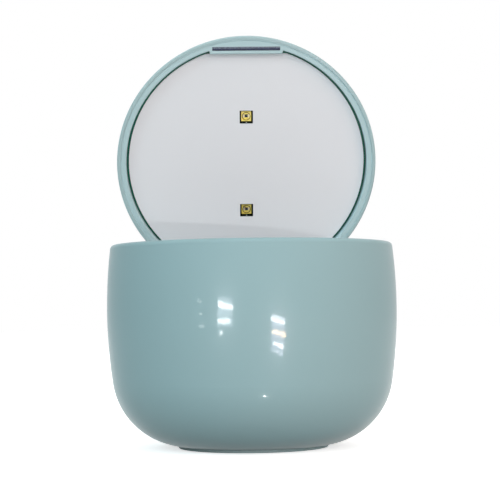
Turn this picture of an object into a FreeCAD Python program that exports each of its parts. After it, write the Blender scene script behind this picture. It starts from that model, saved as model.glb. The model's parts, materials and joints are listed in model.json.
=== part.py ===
"""UV sterilizer box: a round pot with a steel bowl inside and a hinged lid that carries two UV lamps.

Millimetres, +Z up, front towards -Y, hinge at +Y, origin at the centre of the foot pad on the floor.
The lid's pieces are modelled closed, then swung open about the hinge axis to the pose of the photograph.
"""
import FreeCAD, Part
import os
from math import acos, cos, hypot, radians, sin, sqrt

V = FreeCAD.Vector
X_AXIS = V(1, 0, 0)
Y_AXIS = V(0, 1, 0)
Z_AXIS = V(0, 0, 1)

# Shared fits
OVERRUN = 1.0            # how far every cut runs past the face it opens
FIT_GAP = 0.2            # gap round a piece that drops into its seat
RUNNING_GAP = 0.05       # radial gap of the lug turning on its pin
MOVING_GAP = 0.35        # gap between pieces that move past each other
MAGNET_GAP = 0.05        # gap round the catch magnet and the latch plate in their pockets
BEND_SHARE = 0.45        # share of the shorter run that a lead's bend takes up

# Pot outline
MAX_RADIUS = 51.2        # widest radius of the pot
RIM_INSET = 1.4          # how far the rim draws in from the widest radius
BODY_HEIGHT = 71.7       # floor to rim
BULGE_DROP = 22.5        # rim down to the widest ring
CORNER_RADIUS = 26.0     # round between side and bottom
BODY_WALL = 2.2
RIM_EDGE = 1.6           # round on the outer edge of the rim

# Foot pad under the pot
FOOT_STAND = 0.8         # how far the pad lifts the pot
FOOT_RECESS = 0.8        # how deep the pad sits in the pot
FOOT_REACH = 2.9         # pad past the flat of the pot's bottom
FOOT_EDGE = 0.4

# Steel bowl, hung by its flange in the rim
BOWL_LIFT = 3.7          # bowl above the pot's floor
BOWL_WALL = 0.8
BOWL_CORNER = 22.0       # inside round between wall and bottom
BOWL_DRAFT = 1.0         # how much the wall draws in from mouth to bottom
BOWL_LIP = 0.7           # round where the wall turns into the flange
FLANGE_WIDTH = 3.9
FLANGE_RECESS = 0.5      # flange below the rim
FLANGE_STUB = 0.1        # bead left on the wall where the flange is cut away
GASKET_THICK = 0.6
LEDGE_THICK = 4.4        # shelf in the pot that carries flange and gasket
LEDGE_GAP = 1.1          # shelf clear of the bowl's wall
REST_RADIUS = 13.0       # round rib on the pot's floor, under the bowl
REST_WIDTH = 2.0

# Catch magnet in the front of the ledge
CATCH_LENGTH = 16.0
CATCH_WIDTH = 1.8
CATCH_DEPTH = 3.0
CATCH_MARGIN = 0.6       # plastic between the magnet and the bowl

# Hinge
HINGE_INSET = 3.4        # axis inside the rim radius
HINGE_DROP = 16.7        # axis below the rim
LID_OPEN_ANGLE = 70.1    # swing from closed to the open stop
LUG_NOSE = 2.6           # round nose of the lug about the axis
LUG_FRONT = 2.2          # axis to the lug's front face
LUG_HALF = 8.0           # half width of the lug
LUG_HEEL = 4.8           # flat of the heel above the axis
LUG_ROOT = 2.6           # root in the lid, in front of the lug's face
NECK_SHARE = 0.62        # rear of the root, as a share of the rim's width at the lug's sides
PIN_RADIUS = 1.2
PIN_INSET = 1.0          # pin ends inside the ears
EAR_WIDTH = 3.7          # bracket ear beside the lug
BRACKET_FLOOR = 3.0      # floor under the lug
TONGUE_HALF = 9.6        # half width of the tongue behind the pot's wall
TONGUE_THICK = 2.2
TONGUE_DROP = 8.0        # tongue below the bracket's floor
TONGUE_EDGE = 2.0
BRACKET_SCREW_PITCH = 12.0
BRACKET_SCREW_DROP = 4.2 # screws below the bracket's floor
BRACKET_SCREW_RADIUS = 0.9
BRACKET_SCREW_LENGTH = 5.0
BRACKET_HEAD_RADIUS = 1.7
BRACKET_HEAD_HEIGHT = 0.9
BRACKET_BOSS_RADIUS = 2.4

# Lid cover
LID_GAP = 0.3            # lid above the rim when closed
LID_OVERHANG = 0.2       # lid past the rim
LID_HEIGHT = 20.0
LID_WALL = 1.4
LID_DRAFT_ANGLE = 8.0
LID_CORNER = 15.0
CROWN_RADIUS = 220.0
LID_EDGE = 0.5
PARTING_EDGE = 0.25      # round on both sides of the joint between cover and frame
LID_SCREW_INSET = 10.4   # screw circle inside the frame's rim
COLUMN_GAP = 2.6         # screw columns past the ends of the cell
LID_SCREW_RADIUS = 1.0
LID_SCREW_LENGTH = 7.0
LID_HEAD_RADIUS = 1.9
LID_HEAD_HEIGHT = 0.9
LID_BOSS_RADIUS = 2.8

# Lid frame, the inner moulding with the front tab and the hinge lug
FRAME_GROOVE = 0.15      # groove between cover and frame
FRAME_RECESS = 0.2       # frame inside the cover's edge
FRAME_RIM = 2.05         # width of the frame's rim
FRAME_FLOOR = 2.1
FRAME_EDGE = 0.35
TAB_DEPTH = 3.3          # tab from the frame's rim inwards
TAB_HALF = 13.7          # half width of the tab at that edge
TAB_FLARE = 0.6          # how much wider the tab is where it meets the rim
TAB_EDGE = 0.3

# Latch plate in the tab
LATCH_LENGTH = 25.6
LATCH_WIDTH = 1.4
LATCH_DEPTH = 1.6
LATCH_RECESS = 0.3
LATCH_SETBACK = 2.0      # plate's middle outside the tab's inner edge

# Reflector panel
PANEL_GAP = 0.95         # shadow gap between frame and panel
PANEL_RECESS = 2.6       # panel inside the cover's edge
PANEL_THICK = 0.6
PANEL_TAB_GAP = 0.3      # panel clear of the tab and of the lug's root
PANEL_LIP = 0.8          # panel past the floor that carries it
CHANNEL_DEPTH = 1.1      # shadow channel in that floor, under the panel's edge
WINDOW_SIZE = 5.1        # square window in front of each lamp

# UV lamps and their board
LAMP_PITCH = 37.2
LAMP_SHIFT = 0.4         # half way between the lamps, behind the lid's axis
LAMP_SIZE = 3.8
LAMP_THICK = 1.1
LAMP_CUP_RADIUS = 1.45
LAMP_CUP_DEPTH = 0.75
LAMP_CHIP_SIZE = 1.1
LAMP_CHIP_THICK = 0.2
LENS_THICK = 0.35
LENS_GAP = 0.02
LED_BOARD_WIDTH = 14.0
LED_BOARD_MARGIN = 8.4   # board past the middle of each lamp
LED_BOARD_THICK = 1.2
LED_BOARD_EDGE = 2.0

# Button, light ring and switch on top of the lid
BUTTON_RADIUS = 8.1
BUTTON_PROUD = 0.5
BUTTON_THICK = 3.2
BUTTON_EDGE = 0.5
BUTTON_DISH_RADIUS = 60.0
BUTTON_DISH_DEPTH = 0.3
BUTTON_FLANGE = 1.3      # skirt that keeps the button in
BUTTON_FLANGE_THICK = 1.0
BUTTON_TRAVEL = 0.5
STEM_RADIUS = 1.6
STEM_LENGTH = 1.0
RING_WIDTH = 1.6         # visible width of the light ring
RING_FLANGE = 1.2
SWITCH_SIZE = 6.0
SWITCH_HEIGHT = 3.4
SWITCH_EDGE = 0.6
PLUNGER_RISE = 0.7       # plunger above the switch
PLUNGER_DEPTH = 1.0      # plunger inside the switch

# Control board in the lid, with what it carries
CONTROL_HALF = 15.0      # half width of the board
CONTROL_MARGIN = 0.5     # board past the lamp board on its left
CONTROL_THICK = 1.6
CONTROL_CLEAR = 0.8      # board clear of the cover's inside
POST_RADIUS = 2.2
POST_OFFSET = 12.0       # board posts off the centre line
POST_STANDOFF = 4.0      # left posts from the lamp board's edge
POST_INSET = 10.4        # right posts from the board's far edge
SUPPORT_RADIUS = 2.0     # post under the switch, through the lamp board
BOARD_SCREW_RADIUS = 0.9
BOARD_SCREW_LENGTH = 4.0
BOARD_HEAD_RADIUS = 1.7
BOARD_HEAD_HEIGHT = 1.2
CHIP_SIZE = 5.0
CHIP_HEIGHT = 1.2
CHIP_EDGE = 0.3
CHIP_SHARE = 0.32        # place of the processor on the way from the left to the right posts
COIL_RADIUS = 3.0
COIL_HEIGHT = 2.6
COIL_SHARE = 0.73        # place of the coil and the tilt switch on that way
COIL_OFFSET = 6.0        # coil and tilt switch off the centre line
TILT_RADIUS = 1.9
TILT_LENGTH = 7.0

# Charging socket at the right of the lid
SOCKET_WIDTH = 8.9
SOCKET_HEIGHT = 3.2
SOCKET_LENGTH = 7.0
SOCKET_WALL = 0.3
SOCKET_SETBACK = 0.5     # mouth inside the cover's outer face
SOCKET_BACK = 1.2        # block at the socket's inner end
CONTACT_WIDTH = 6.6
CONTACT_THICK = 0.7
CONTACT_SETBACK = 0.8
ROUND_END_SHARE = 0.49   # round of the socket's ends, as a share of its height

# Battery cell and leads
BATTERY_LENGTH = 40.0
BATTERY_CLEAR = 3.4      # corners of the cell clear of the frame's rim
BATTERY_THICK = 5.0
BATTERY_GAP = 2.0        # cell clear of the lamp board
BATTERY_EDGE = 2.2
LEAD_RADIUS = 0.7
LEAD_LOOP = 4.0          # battery lead's arch above the control board
LEAD_INSET = 5.0         # battery lead from the edges of cell and board
LEAD_FRONT = 6.0         # lamp lead in front of the control board

# Places that follow from the sizes above
RIM_RADIUS = MAX_RADIUS - RIM_INSET
BULGE_RADIUS = (BULGE_DROP**2 + RIM_INSET**2) / (2 * RIM_INSET)
BULGE_R = MAX_RADIUS - BULGE_RADIUS
BULGE_Z = BODY_HEIGHT - BULGE_DROP
CORNER_Z = FOOT_STAND + CORNER_RADIUS
CORNER_R = BULGE_R + sqrt((BULGE_RADIUS - CORNER_RADIUS)**2 - (BULGE_Z - CORNER_Z)**2)
FLOOR_Z = FOOT_STAND + BODY_WALL
FOOT_RADIUS = CORNER_R + FOOT_REACH
HINGE_Y = RIM_RADIUS - HINGE_INSET
HINGE_Z = BODY_HEIGHT - HINGE_DROP
HINGE = V(0, HINGE_Y, HINGE_Z)
LUG_ROOM = LUG_NOSE + MOVING_GAP                         # axis to the faces round the lug
BOWL_RADIUS = HINGE_Y - LUG_ROOM                         # outside of the bowl at its mouth
BOWL_Z = FLOOR_Z + BOWL_LIFT                             # underside of the bowl
FLANGE_RADIUS = BOWL_RADIUS + FLANGE_WIDTH
FLANGE_Z = BODY_HEIGHT - FLANGE_RECESS                   # top of the flange
LEDGE_Z = FLANGE_Z - BOWL_WALL - GASKET_THICK
LEDGE_RADIUS = BOWL_RADIUS + LEDGE_GAP
SEAT_RADIUS = FLANGE_RADIUS + FIT_GAP
CATCH_Y = LEDGE_RADIUS + CATCH_MARGIN + CATCH_WIDTH / 2
LUG_FACE = HINGE_Y - LUG_FRONT
ROOT_FACE = LUG_FACE - LUG_ROOT
SLOT_HALF = LUG_HALF + MOVING_GAP
EAR_OUT = SLOT_HALF + EAR_WIDTH
SLOT_Z = HINGE_Z - LUG_ROOM
BRACKET_Z = SLOT_Z - BRACKET_FLOOR
TONGUE_Y = BOWL_RADIUS + MOVING_GAP
TONGUE_BACK = TONGUE_Y + TONGUE_THICK
LID_RADIUS = RIM_RADIUS + LID_OVERHANG
LID_Z = BODY_HEIGHT + LID_GAP                            # lower edge of the closed lid
LID_TOP = LID_Z + LID_HEIGHT
CROWN_Z = LID_TOP - CROWN_RADIUS
FRAME_Z = LID_Z + FRAME_RECESS
FRAME_IN = LID_RADIUS - LID_WALL - FRAME_GROOVE - FRAME_RIM
PANEL_RADIUS = FRAME_IN - PANEL_GAP
PANEL_Z = LID_Z + PANEL_RECESS
PANEL_BACK = PANEL_Z + PANEL_THICK
FRAME_BACK = PANEL_BACK + FRAME_FLOOR
TAB_CHORD = FRAME_IN - TAB_DEPTH                         # lid's axis to the inner edge of the tab
LATCH_CENTRE = TAB_CHORD + LATCH_SETBACK
PANEL_CHORD = TAB_CHORD - PANEL_TAB_GAP
LAMP_PLACES = {"front": LAMP_SHIFT - LAMP_PITCH / 2, "rear": LAMP_SHIFT + LAMP_PITCH / 2}
LAMP_FACE = FRAME_BACK - LAMP_THICK
LED_BOARD_TOP = FRAME_BACK + LED_BOARD_THICK
LED_BOARD_REACH = LAMP_PITCH / 2 + LED_BOARD_MARGIN
BUTTON_TOP = LID_TOP + BUTTON_PROUD
BUTTON_LOW = BUTTON_TOP - BUTTON_THICK                   # lower face of the cap, on its skirt
BUTTON_BASE = BUTTON_LOW - BUTTON_FLANGE_THICK
RING_IN = BUTTON_RADIUS + MOVING_GAP
RING_OUT = RING_IN + RING_WIDTH
RING_LOW = BUTTON_LOW + MOVING_GAP
PLUNGER_TOP = BUTTON_BASE - STEM_LENGTH
SWITCH_TOP = PLUNGER_TOP - PLUNGER_RISE
CONTROL_TOP = SWITCH_TOP - SWITCH_HEIGHT
CONTROL_Z = CONTROL_TOP - CONTROL_THICK
CONTROL_LEFT = -LED_BOARD_WIDTH / 2 - CONTROL_MARGIN
SOCKET_Z = CONTROL_Z - SOCKET_HEIGHT / 2
BATTERY_RIGHT = -LED_BOARD_WIDTH / 2 - BATTERY_GAP
BATTERY_LEFT = -sqrt((FRAME_IN - BATTERY_CLEAR)**2 - (BATTERY_LENGTH / 2)**2)
COLUMN_Y = BATTERY_LENGTH / 2 + COLUMN_GAP + LID_BOSS_RADIUS
COLUMN_X = sqrt((FRAME_IN - LID_SCREW_INSET)**2 - COLUMN_Y**2)
BRACKET_SCREW = (BRACKET_HEAD_RADIUS, BRACKET_HEAD_HEIGHT, BRACKET_SCREW_RADIUS, BRACKET_SCREW_LENGTH)
LID_SCREW = (LID_HEAD_RADIUS, LID_HEAD_HEIGHT, LID_SCREW_RADIUS, LID_SCREW_LENGTH)


def box(low, high):
    """Block between two opposite corners."""
    size = high - low
    return Part.makeBox(size.x, size.y, size.z, low)


def cylinder(radius, base, tip):
    """Round bar from one point to another."""
    way = tip - base
    return Part.makeCylinder(radius, way.Length, base, way)


def rounded_box(low, high, edge, axis):
    """Block whose four edges along one axis are rounded."""
    solid = box(low, high)
    along = [e for e in solid.Edges if abs(e.tangentAt(e.FirstParameter) * axis) > 0.9]
    return solid.makeFillet(edge, along)


def line(start, end):
    return Part.LineSegment(start, end).toShape()


def arc(centre, start, end):
    """Arc of under a half circle about a centre, between two points of equal radius."""
    radius = (start - centre).Length
    middle = (start - centre) + (end - centre)
    return Part.Arc(start, centre + middle.normalize() * radius, end).toShape()


def polygon(points):
    """Closed chain of straight edges."""
    return Part.Wire([line(a, b) for a, b in zip(points, points[1:] + points[:1])])


def revolve(edges):
    """Closed outline in the X-Z plane, turned about Z."""
    return Part.Face(Part.Wire(edges)).revolve(V(), Z_AXIS, 360)


def spin(points):
    """Closed outline of (radius, height) pairs with straight sides, turned about Z."""
    return Part.Face(polygon([V(r, 0, z) for r, z in points])).revolve(V(), Z_AXIS, 360)


def ring_edges(shape, radius, height):
    """Round edges about Z of a given radius and height."""
    found = []
    for edge in shape.Edges:
        if edge.Degenerated or not isinstance(edge.Curve, Part.Circle):
            continue
        centre = edge.Curve.Center
        off_axis = hypot(centre.x, centre.y)
        if max(off_axis, abs(centre.z - height), abs(edge.Curve.Radius - radius)) < 1e-4:
            found.append(edge)
    return found


def fused(first, *others):
    return first.fuse(list(others)).removeSplitter()


def group(solids):
    """Several like pieces that share one node."""
    return Part.makeCompound(solids)


def lead(points):
    """Insulated lead along straight runs joined by the largest tangent bends that the runs allow."""
    edges = []
    start = points[0]
    for before, corner, after in zip(points, points[1:], points[2:]):
        way_in = corner - before
        way_out = after - corner
        reach = BEND_SHARE * min(way_in.Length, way_out.Length)
        way_in.normalize()
        way_out.normalize()
        turn = acos(way_in * way_out)
        first = corner - way_in * reach
        last = corner + way_out * reach
        inward = (way_out - way_in).normalize()
        centre = corner + inward * (reach / sin(turn / 2))
        edges += [line(start, first), arc(centre, first, last)]
        start = last
    edges.append(line(start, points[-1]))
    section = Part.Wire([Part.Circle(points[0], points[1] - points[0], LEAD_RADIUS).toShape()])
    return Part.Wire(edges).makePipeShell([section], True, False)


def pan_screw(seat):
    """Pan-head screw that points down from its seat."""
    head = cylinder(BOARD_HEAD_RADIUS, seat, seat + Z_AXIS * BOARD_HEAD_HEIGHT)
    rounding = BOARD_HEAD_HEIGHT / 2
    head = head.makeFillet(rounding, [e for e in head.Edges if e.BoundBox.ZMin > seat.z + rounding])
    return fused(head, cylinder(BOARD_SCREW_RADIUS, seat, seat - Z_AXIS * BOARD_SCREW_LENGTH))


def flat_screw(face, way, sizes, gap=0):
    """Countersunk screw whose head lies flush in a face, or its hole for a gap."""
    head_radius, head_height, radius, length = sizes
    head = Part.makeCone(head_radius + gap, radius + gap, head_height, face, way)
    return fused(head, cylinder(radius + gap, face, face + way * length))


# Pot

def pot_radius(z, wall):
    """Radius of the pot's side at a height on the bulge, set in by a wall."""
    return BULGE_R + sqrt((BULGE_RADIUS - wall)**2 - (z - BULGE_Z)**2)


def pot_side(wall, z_top):
    """Side of the pot from its bottom to a height: corner arc, then bulge arc, set in by a wall."""
    corner_centre = V(CORNER_R, 0, CORNER_Z)
    bulge_centre = V(BULGE_R, 0, BULGE_Z)
    outward = (corner_centre - bulge_centre).normalize()
    low = V(CORNER_R, 0, FOOT_STAND + wall)
    joint = corner_centre + outward * (CORNER_RADIUS - wall)
    top = V(pot_radius(z_top, wall), 0, z_top)
    return low, top, [arc(corner_centre, low, joint), arc(bulge_centre, joint, top)]


def pot_solid():
    """The pot's outside as a solid, with its rounded rim."""
    low, top, side = pot_side(0, BODY_HEIGHT)
    base = V(0, 0, FOOT_STAND)
    crest = V(0, 0, BODY_HEIGHT)
    solid = revolve([line(base, low)] + side + [line(top, crest), line(crest, base)])
    return solid.makeFillet(RIM_EDGE, ring_edges(solid, RIM_RADIUS, BODY_HEIGHT))


def pot_room():
    """The room inside the pot: side, ledge and flange seat."""
    low, top, side = pot_side(BODY_WALL, LEDGE_Z - LEDGE_THICK)
    above = BODY_HEIGHT + OVERRUN
    rim = [top, V(LEDGE_RADIUS, 0, top.z), V(LEDGE_RADIUS, 0, LEDGE_Z), V(SEAT_RADIUS, 0, LEDGE_Z),
           V(SEAT_RADIUS, 0, above), V(0, 0, above), V(0, 0, FLOOR_Z), low]
    return revolve(side + [line(a, b) for a, b in zip(rim, rim[1:])])


def bracket_screw_places(y):
    z = BRACKET_Z - BRACKET_SCREW_DROP
    return [V(side * BRACKET_SCREW_PITCH / 2, y, z) for side in (-1, 1)]


def catch_box(gap, z_low, z_high):
    """Plan of the catch magnet, grown by a gap, between two heights."""
    half = CATCH_LENGTH / 2 + gap
    reach = CATCH_WIDTH / 2 + gap
    return box(V(-half, -CATCH_Y - reach, z_low), V(half, -CATCH_Y + reach, z_high))


def body_shell():
    """Outer pot, moulded in one piece with the ledge, the rib under the bowl and the bracket's bosses."""
    outside = pot_solid()
    shell = outside.cut(pot_room())
    root = FLOOR_Z - BODY_WALL / 2
    rib_out = REST_RADIUS + REST_WIDTH
    rib = spin([(REST_RADIUS, root), (rib_out, root), (rib_out, BOWL_Z), (REST_RADIUS, BOWL_Z)])
    bosses = [cylinder(BRACKET_BOSS_RADIUS, p, p + Y_AXIS * CORNER_RADIUS).common(outside)
              for p in bracket_screw_places(TONGUE_BACK)]
    shell = fused(shell, rib, *bosses)
    notch = EAR_OUT + FIT_GAP
    cuts = [box(V(-notch, 0, BRACKET_Z - FIT_GAP), V(notch, MAX_RADIUS + OVERRUN, BODY_HEIGHT + OVERRUN)),
            cylinder(FOOT_RADIUS + FIT_GAP, V(), V(0, 0, FOOT_STAND + FOOT_RECESS)),
            catch_box(MAGNET_GAP, LEDGE_Z - CATCH_DEPTH, LEDGE_Z + OVERRUN)]
    reach = Y_AXIS * BRACKET_SCREW_LENGTH
    cuts += [cylinder(BRACKET_SCREW_RADIUS, p, p + reach) for p in bracket_screw_places(TONGUE_Y)]
    return shell.cut(cuts)


def foot_pad():
    """Round silicone pad, glued into the pot's bottom."""
    pad = cylinder(FOOT_RADIUS, V(), V(0, 0, FOOT_STAND + FOOT_RECESS))
    return pad.makeFillet(FOOT_EDGE, ring_edges(pad, FOOT_RADIUS, 0))


def catch_magnet():
    """Bar magnet under the flange that holds the lid shut."""
    return catch_box(0, LEDGE_Z - CATCH_DEPTH, LEDGE_Z)


def flange_relief(z_low):
    """Room for the hinge bracket at the rear of flange and gasket."""
    notch = EAR_OUT + FIT_GAP
    block = box(V(-notch, 0, z_low), V(notch, MAX_RADIUS, BODY_HEIGHT))
    return block.cut(cylinder(BOWL_RADIUS + FLANGE_STUB, V(0, 0, z_low), V(0, 0, BODY_HEIGHT)))


def bowl_gasket():
    """Flat silicone ring that beds the flange on the ledge, open at the hinge."""
    low = LEDGE_Z
    high = LEDGE_Z + GASKET_THICK
    ring = spin([(LEDGE_RADIUS, low), (FLANGE_RADIUS, low), (FLANGE_RADIUS, high), (LEDGE_RADIUS, high)])
    return ring.cut(flange_relief(low - OVERRUN))


def inner_bowl():
    """Deep-drawn steel bowl whose flange is cut away at the hinge."""
    foot = BOWL_RADIUS - BOWL_DRAFT
    outside = Part.makeCone(foot, BOWL_RADIUS, FLANGE_Z - BOWL_Z, V(0, 0, BOWL_Z))
    outside = outside.makeFillet(BOWL_CORNER + BOWL_WALL, ring_edges(outside, foot, BOWL_Z))
    floor = BOWL_Z + BOWL_WALL
    inside = Part.makeCone(foot - BOWL_WALL, BOWL_RADIUS - BOWL_WALL, FLANGE_Z - floor, V(0, 0, floor))
    inside = inside.makeFillet(BOWL_CORNER, ring_edges(inside, foot - BOWL_WALL, floor))
    flange = cylinder(FLANGE_RADIUS, V(0, 0, FLANGE_Z - BOWL_WALL), V(0, 0, FLANGE_Z))
    bowl = fused(outside, flange).cut(inside)
    bowl = bowl.makeFillet(BOWL_LIP, ring_edges(bowl, BOWL_RADIUS - BOWL_WALL, FLANGE_Z))
    return bowl.cut(flange_relief(FLANGE_Z - BOWL_WALL - OVERRUN))


# Hinge

def lug_slot():
    """Room for the lug, open to the top and rear, with a ramp at the back that stops the open lug's heel."""
    swing = radians(LID_OPEN_ANGLE)
    foot = LUG_ROOM * cos(swing) / (1 + sin(swing))
    rise = ((MAX_RADIUS - HINGE_Y) * cos(swing) - LUG_ROOM) / sin(swing)
    above = BODY_HEIGHT + OVERRUN
    ramp = [(HINGE_Y + foot, SLOT_Z), (MAX_RADIUS, HINGE_Z + rise)]
    outline = [(0, SLOT_Z)] + ramp + [(MAX_RADIUS, above), (0, above)]
    return Part.Face(polygon([V(-SLOT_HALF, y, z) for y, z in outline])).extrude(X_AXIS * (2 * SLOT_HALF))


def hinge_bracket():
    """Moulded hinge seat in the rear of the rim: ears, floor and a tongue screwed behind the pot's wall."""
    room = cylinder(BOWL_RADIUS + MOVING_GAP, V(0, 0, BRACKET_Z), V(0, 0, BODY_HEIGHT))
    block = box(V(-EAR_OUT, 0, BRACKET_Z), V(EAR_OUT, MAX_RADIUS, BODY_HEIGHT)).common(pot_solid()).cut(room)
    tongue_low = V(-TONGUE_HALF, TONGUE_Y, BRACKET_Z - TONGUE_DROP)
    tongue = rounded_box(tongue_low, V(TONGUE_HALF, TONGUE_BACK, SLOT_Z), TONGUE_EDGE, Y_AXIS)
    bracket = fused(block, tongue).cut(lug_slot())
    cuts = [hinge_pin()]
    cuts += [flat_screw(p, Y_AXIS, BRACKET_SCREW, FIT_GAP) for p in bracket_screw_places(TONGUE_Y)]
    return bracket.cut(cuts)


def bracket_screws():
    """Countersunk screws from inside, through the tongue into the pot's bosses."""
    return group([flat_screw(p, Y_AXIS, BRACKET_SCREW) for p in bracket_screw_places(TONGUE_Y)])


def hinge_pin():
    """Steel pin through ears and lug, put in before the bracket is fitted."""
    reach = X_AXIS * (EAR_OUT - PIN_INSET)
    return cylinder(PIN_RADIUS, HINGE - reach, HINGE + reach)


# Lid, modelled closed

def dome(setback):
    """Side, corner and crown of the lid, set in from the outside; returns the lower and upper end too."""
    lean = radians(LID_DRAFT_ANGLE)
    upward = V(-sin(lean), 0, cos(lean))
    inward = V(-cos(lean), 0, -sin(lean))
    foot = V(LID_RADIUS, 0, LID_Z)
    crown_centre = V(0, 0, CROWN_Z)
    start = foot + inward * LID_CORNER - crown_centre
    run = -(start * upward) + sqrt((start * upward)**2 - start * start + (CROWN_RADIUS - LID_CORNER)**2)
    corner_centre = foot + inward * LID_CORNER + upward * run
    low = foot + inward * setback
    low = low + upward * ((LID_Z - low.z) / cos(lean))
    side = corner_centre - inward * (LID_CORNER - setback)
    outward = (corner_centre - crown_centre).normalize()
    joint = corner_centre + outward * (LID_CORNER - setback)
    top = V(0, 0, LID_TOP - setback)
    return low, top, [line(low, side), arc(corner_centre, side, joint), arc(crown_centre, joint, top)]


def dome_solid(setback):
    """Everything inside the lid's outside, set in."""
    low, top, edges = dome(setback)
    axis = V(0, 0, LID_Z)
    return revolve([line(axis, low)] + edges + [line(top, axis)])


def dome_radius(z, setback):
    """Radius of the lid's side at a height on its corner, set in from the outside."""
    section = dome_solid(setback).slice(Z_AXIS, z)[0]
    return section.BoundBox.XMax


def lid_screw_places(z):
    return [V(side * COLUMN_X, end * COLUMN_Y, z) for side in (-1, 1) for end in (-1, 1)]


def socket_bar(grow, x_near, x_far):
    """Bar along X with round ends: the socket's outline, grown."""
    half = SOCKET_WIDTH / 2 + grow
    reach = SOCKET_HEIGHT / 2 + grow
    low = V(x_near, -half, SOCKET_Z - reach)
    return rounded_box(low, V(x_far, half, SOCKET_Z + reach), 2 * reach * ROUND_END_SHARE, X_AXIS)


def socket_mouth():
    """Mouth of the charging socket, just inside the cover's outer face."""
    return dome_radius(SOCKET_Z, 0) - SOCKET_SETBACK


def lid_cover():
    """Domed outer shell of the lid with its screw columns, the top hole and the charging slot."""
    block = dome_solid(0)
    block = block.makeFillet(LID_EDGE, ring_edges(block, LID_RADIUS, LID_Z))
    cavity = dome_solid(LID_WALL)
    columns = [cylinder(LID_BOSS_RADIUS, p, p + Z_AXIS * LID_HEIGHT) for p in lid_screw_places(FRAME_BACK)]
    shell = block.cut(cavity)
    shell = shell.makeFillet(PARTING_EDGE, ring_edges(shell, dome(LID_WALL)[0].x, LID_Z))
    cover = fused(shell, *[column.common(cavity) for column in columns])
    reach = Z_AXIS * LID_SCREW_LENGTH
    cuts = [cylinder(LID_SCREW_RADIUS, p, p + reach) for p in lid_screw_places(PANEL_BACK)]
    cuts.append(cylinder(RING_OUT + FIT_GAP, V(0, 0, RING_LOW), V(0, 0, LID_TOP + OVERRUN)))
    cuts.append(socket_bar(FIT_GAP, LID_RADIUS - LID_CORNER, LID_RADIUS))
    return cover.cut(cuts)


def tab_block():
    """Front tab of the frame: a chord piece with flared sides, flush with the frame's rim."""
    outer = FRAME_IN + FRAME_RIM / 2
    flare = TAB_HALF + TAB_FLARE
    plan = [(-TAB_HALF, -TAB_CHORD), (TAB_HALF, -TAB_CHORD), (flare, -outer), (-flare, -outer)]
    block = Part.Face(polygon([V(x, y, FRAME_Z) for x, y in plan])).extrude(Z_AXIS * (FRAME_BACK - FRAME_Z))
    middle = V(0, -TAB_CHORD, FRAME_Z)
    block = block.makeFillet(TAB_EDGE, [e for e in block.Edges if (e.CenterOfMass - middle).Length < 1e-6])
    return block.common(cylinder(outer, V(0, 0, FRAME_Z), V(0, 0, FRAME_BACK)))


def latch_box(gap, z_low, z_high):
    """Plan of the latch plate, grown by a gap, between two heights."""
    half = LATCH_LENGTH / 2 + gap
    reach = LATCH_WIDTH / 2 + gap
    return box(V(-half, -LATCH_CENTRE - reach, z_low), V(half, -LATCH_CENTRE + reach, z_high))


def lug_block():
    """Hinge lug under the rear of the frame: round nose, stop heel and a root in rim and floor."""
    neck = sqrt(FRAME_IN**2 - LUG_HALF**2) + NECK_SHARE * FRAME_RIM
    heel = HINGE_Y + LUG_NOSE
    shoulder = LID_Z - MOVING_GAP
    outline = [(LUG_FACE, HINGE_Z), (heel, HINGE_Z), (heel, HINGE_Z + LUG_HEEL), (neck, shoulder),
               (neck, FRAME_BACK), (ROOT_FACE, FRAME_BACK), (ROOT_FACE, FRAME_Z), (LUG_FACE, FRAME_Z)]
    web = Part.Face(polygon([V(-LUG_HALF, y, z) for y, z in outline])).extrude(X_AXIS * (2 * LUG_HALF))
    return fused(web, cylinder(LUG_NOSE, HINGE - X_AXIS * LUG_HALF, HINGE + X_AXIS * LUG_HALF))


def lamp_window(y, z_low, z_high):
    half = WINDOW_SIZE / 2
    return box(V(-half, y - half, z_low), V(half, y + half, z_high))


def board_radius():
    """Reach of the control board towards the cover's inside."""
    return dome_radius(CONTROL_TOP, LID_WALL) - CONTROL_CLEAR


def post_columns():
    """Left and right rows of the board's posts."""
    return LED_BOARD_WIDTH / 2 + POST_STANDOFF, sqrt(board_radius()**2 - POST_OFFSET**2) - POST_INSET


def board_place(share):
    """A point on the way from the left to the right posts."""
    near, far = post_columns()
    return near + share * (far - near)


def board_screw_places(z):
    return [V(x, side * POST_OFFSET, z) for x in post_columns() for side in (-1, 1)]


def past_chord(y, z_high):
    """Everything in the lid in front of a chord, up to a height."""
    return box(V(-MAX_RADIUS, -MAX_RADIUS, LID_Z), V(MAX_RADIUS, -y, z_high))


def panel_channel():
    """Shadow channel round the floor that carries the panel, and beside the tab."""
    deep = PANEL_BACK + CHANNEL_DEPTH
    seat = cylinder(PANEL_RADIUS - PANEL_LIP, V(0, 0, PANEL_BACK), V(0, 0, deep))
    seat = seat.cut(past_chord(PANEL_CHORD - PANEL_LIP, deep))
    return cylinder(FRAME_IN, V(0, 0, PANEL_BACK), V(0, 0, deep)).cut(seat)


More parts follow.
